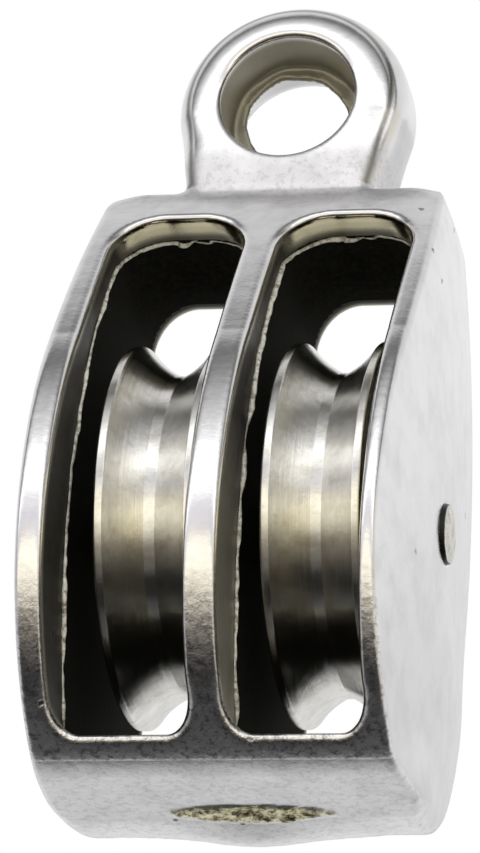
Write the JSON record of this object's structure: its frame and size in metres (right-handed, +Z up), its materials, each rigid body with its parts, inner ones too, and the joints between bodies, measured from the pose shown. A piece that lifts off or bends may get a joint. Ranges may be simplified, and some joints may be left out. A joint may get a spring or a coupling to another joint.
{
  "type": "double sheave block",
  "caption": "Plated die-cast pulley block with a fixed eye and side-by-side grooved sheaves that turn freely on one axle pin, in open rope slots.",
  "frame": {"origin": "centre of the eye's hole, on the middle plane of the block", "axes": "+Z up, from the sheaves towards the eye; +X along the axle pin; -Y is the front, and the rope passes through along Y"},
  "size_m": [0.0262, 0.0308, 0.0592],
  "materials": {
    "plated_casting": "bright nickel plate over a rough zinc die casting",
    "pin_steel": "plated steel, ends swaged",
    "turned_sheave": "turned and plated, fine rings round the axle"
  },
  "bodies": {
    "block": {"body_casting": "plated_casting", "axle_pin": "pin_steel"},
    "left_sheave_wheel": {"left_sheave": "turned_sheave"},
    "right_sheave_wheel": {"right_sheave": "turned_sheave"}
  },
  "joints": [
    {"name": "left_sheave_spin", "type": "hinge", "parent": "block", "child": "left_sheave_wheel", "pos_m": [-0.00469, 0, -0.03185], "axis": [1, 0, 0], "continuous": true},
    {"name": "right_sheave_spin", "type": "hinge", "parent": "block", "child": "right_sheave_wheel", "pos_m": [0.00625, 0, -0.03185], "axis": [1, 0, 0], "continuous": true}
  ]
}
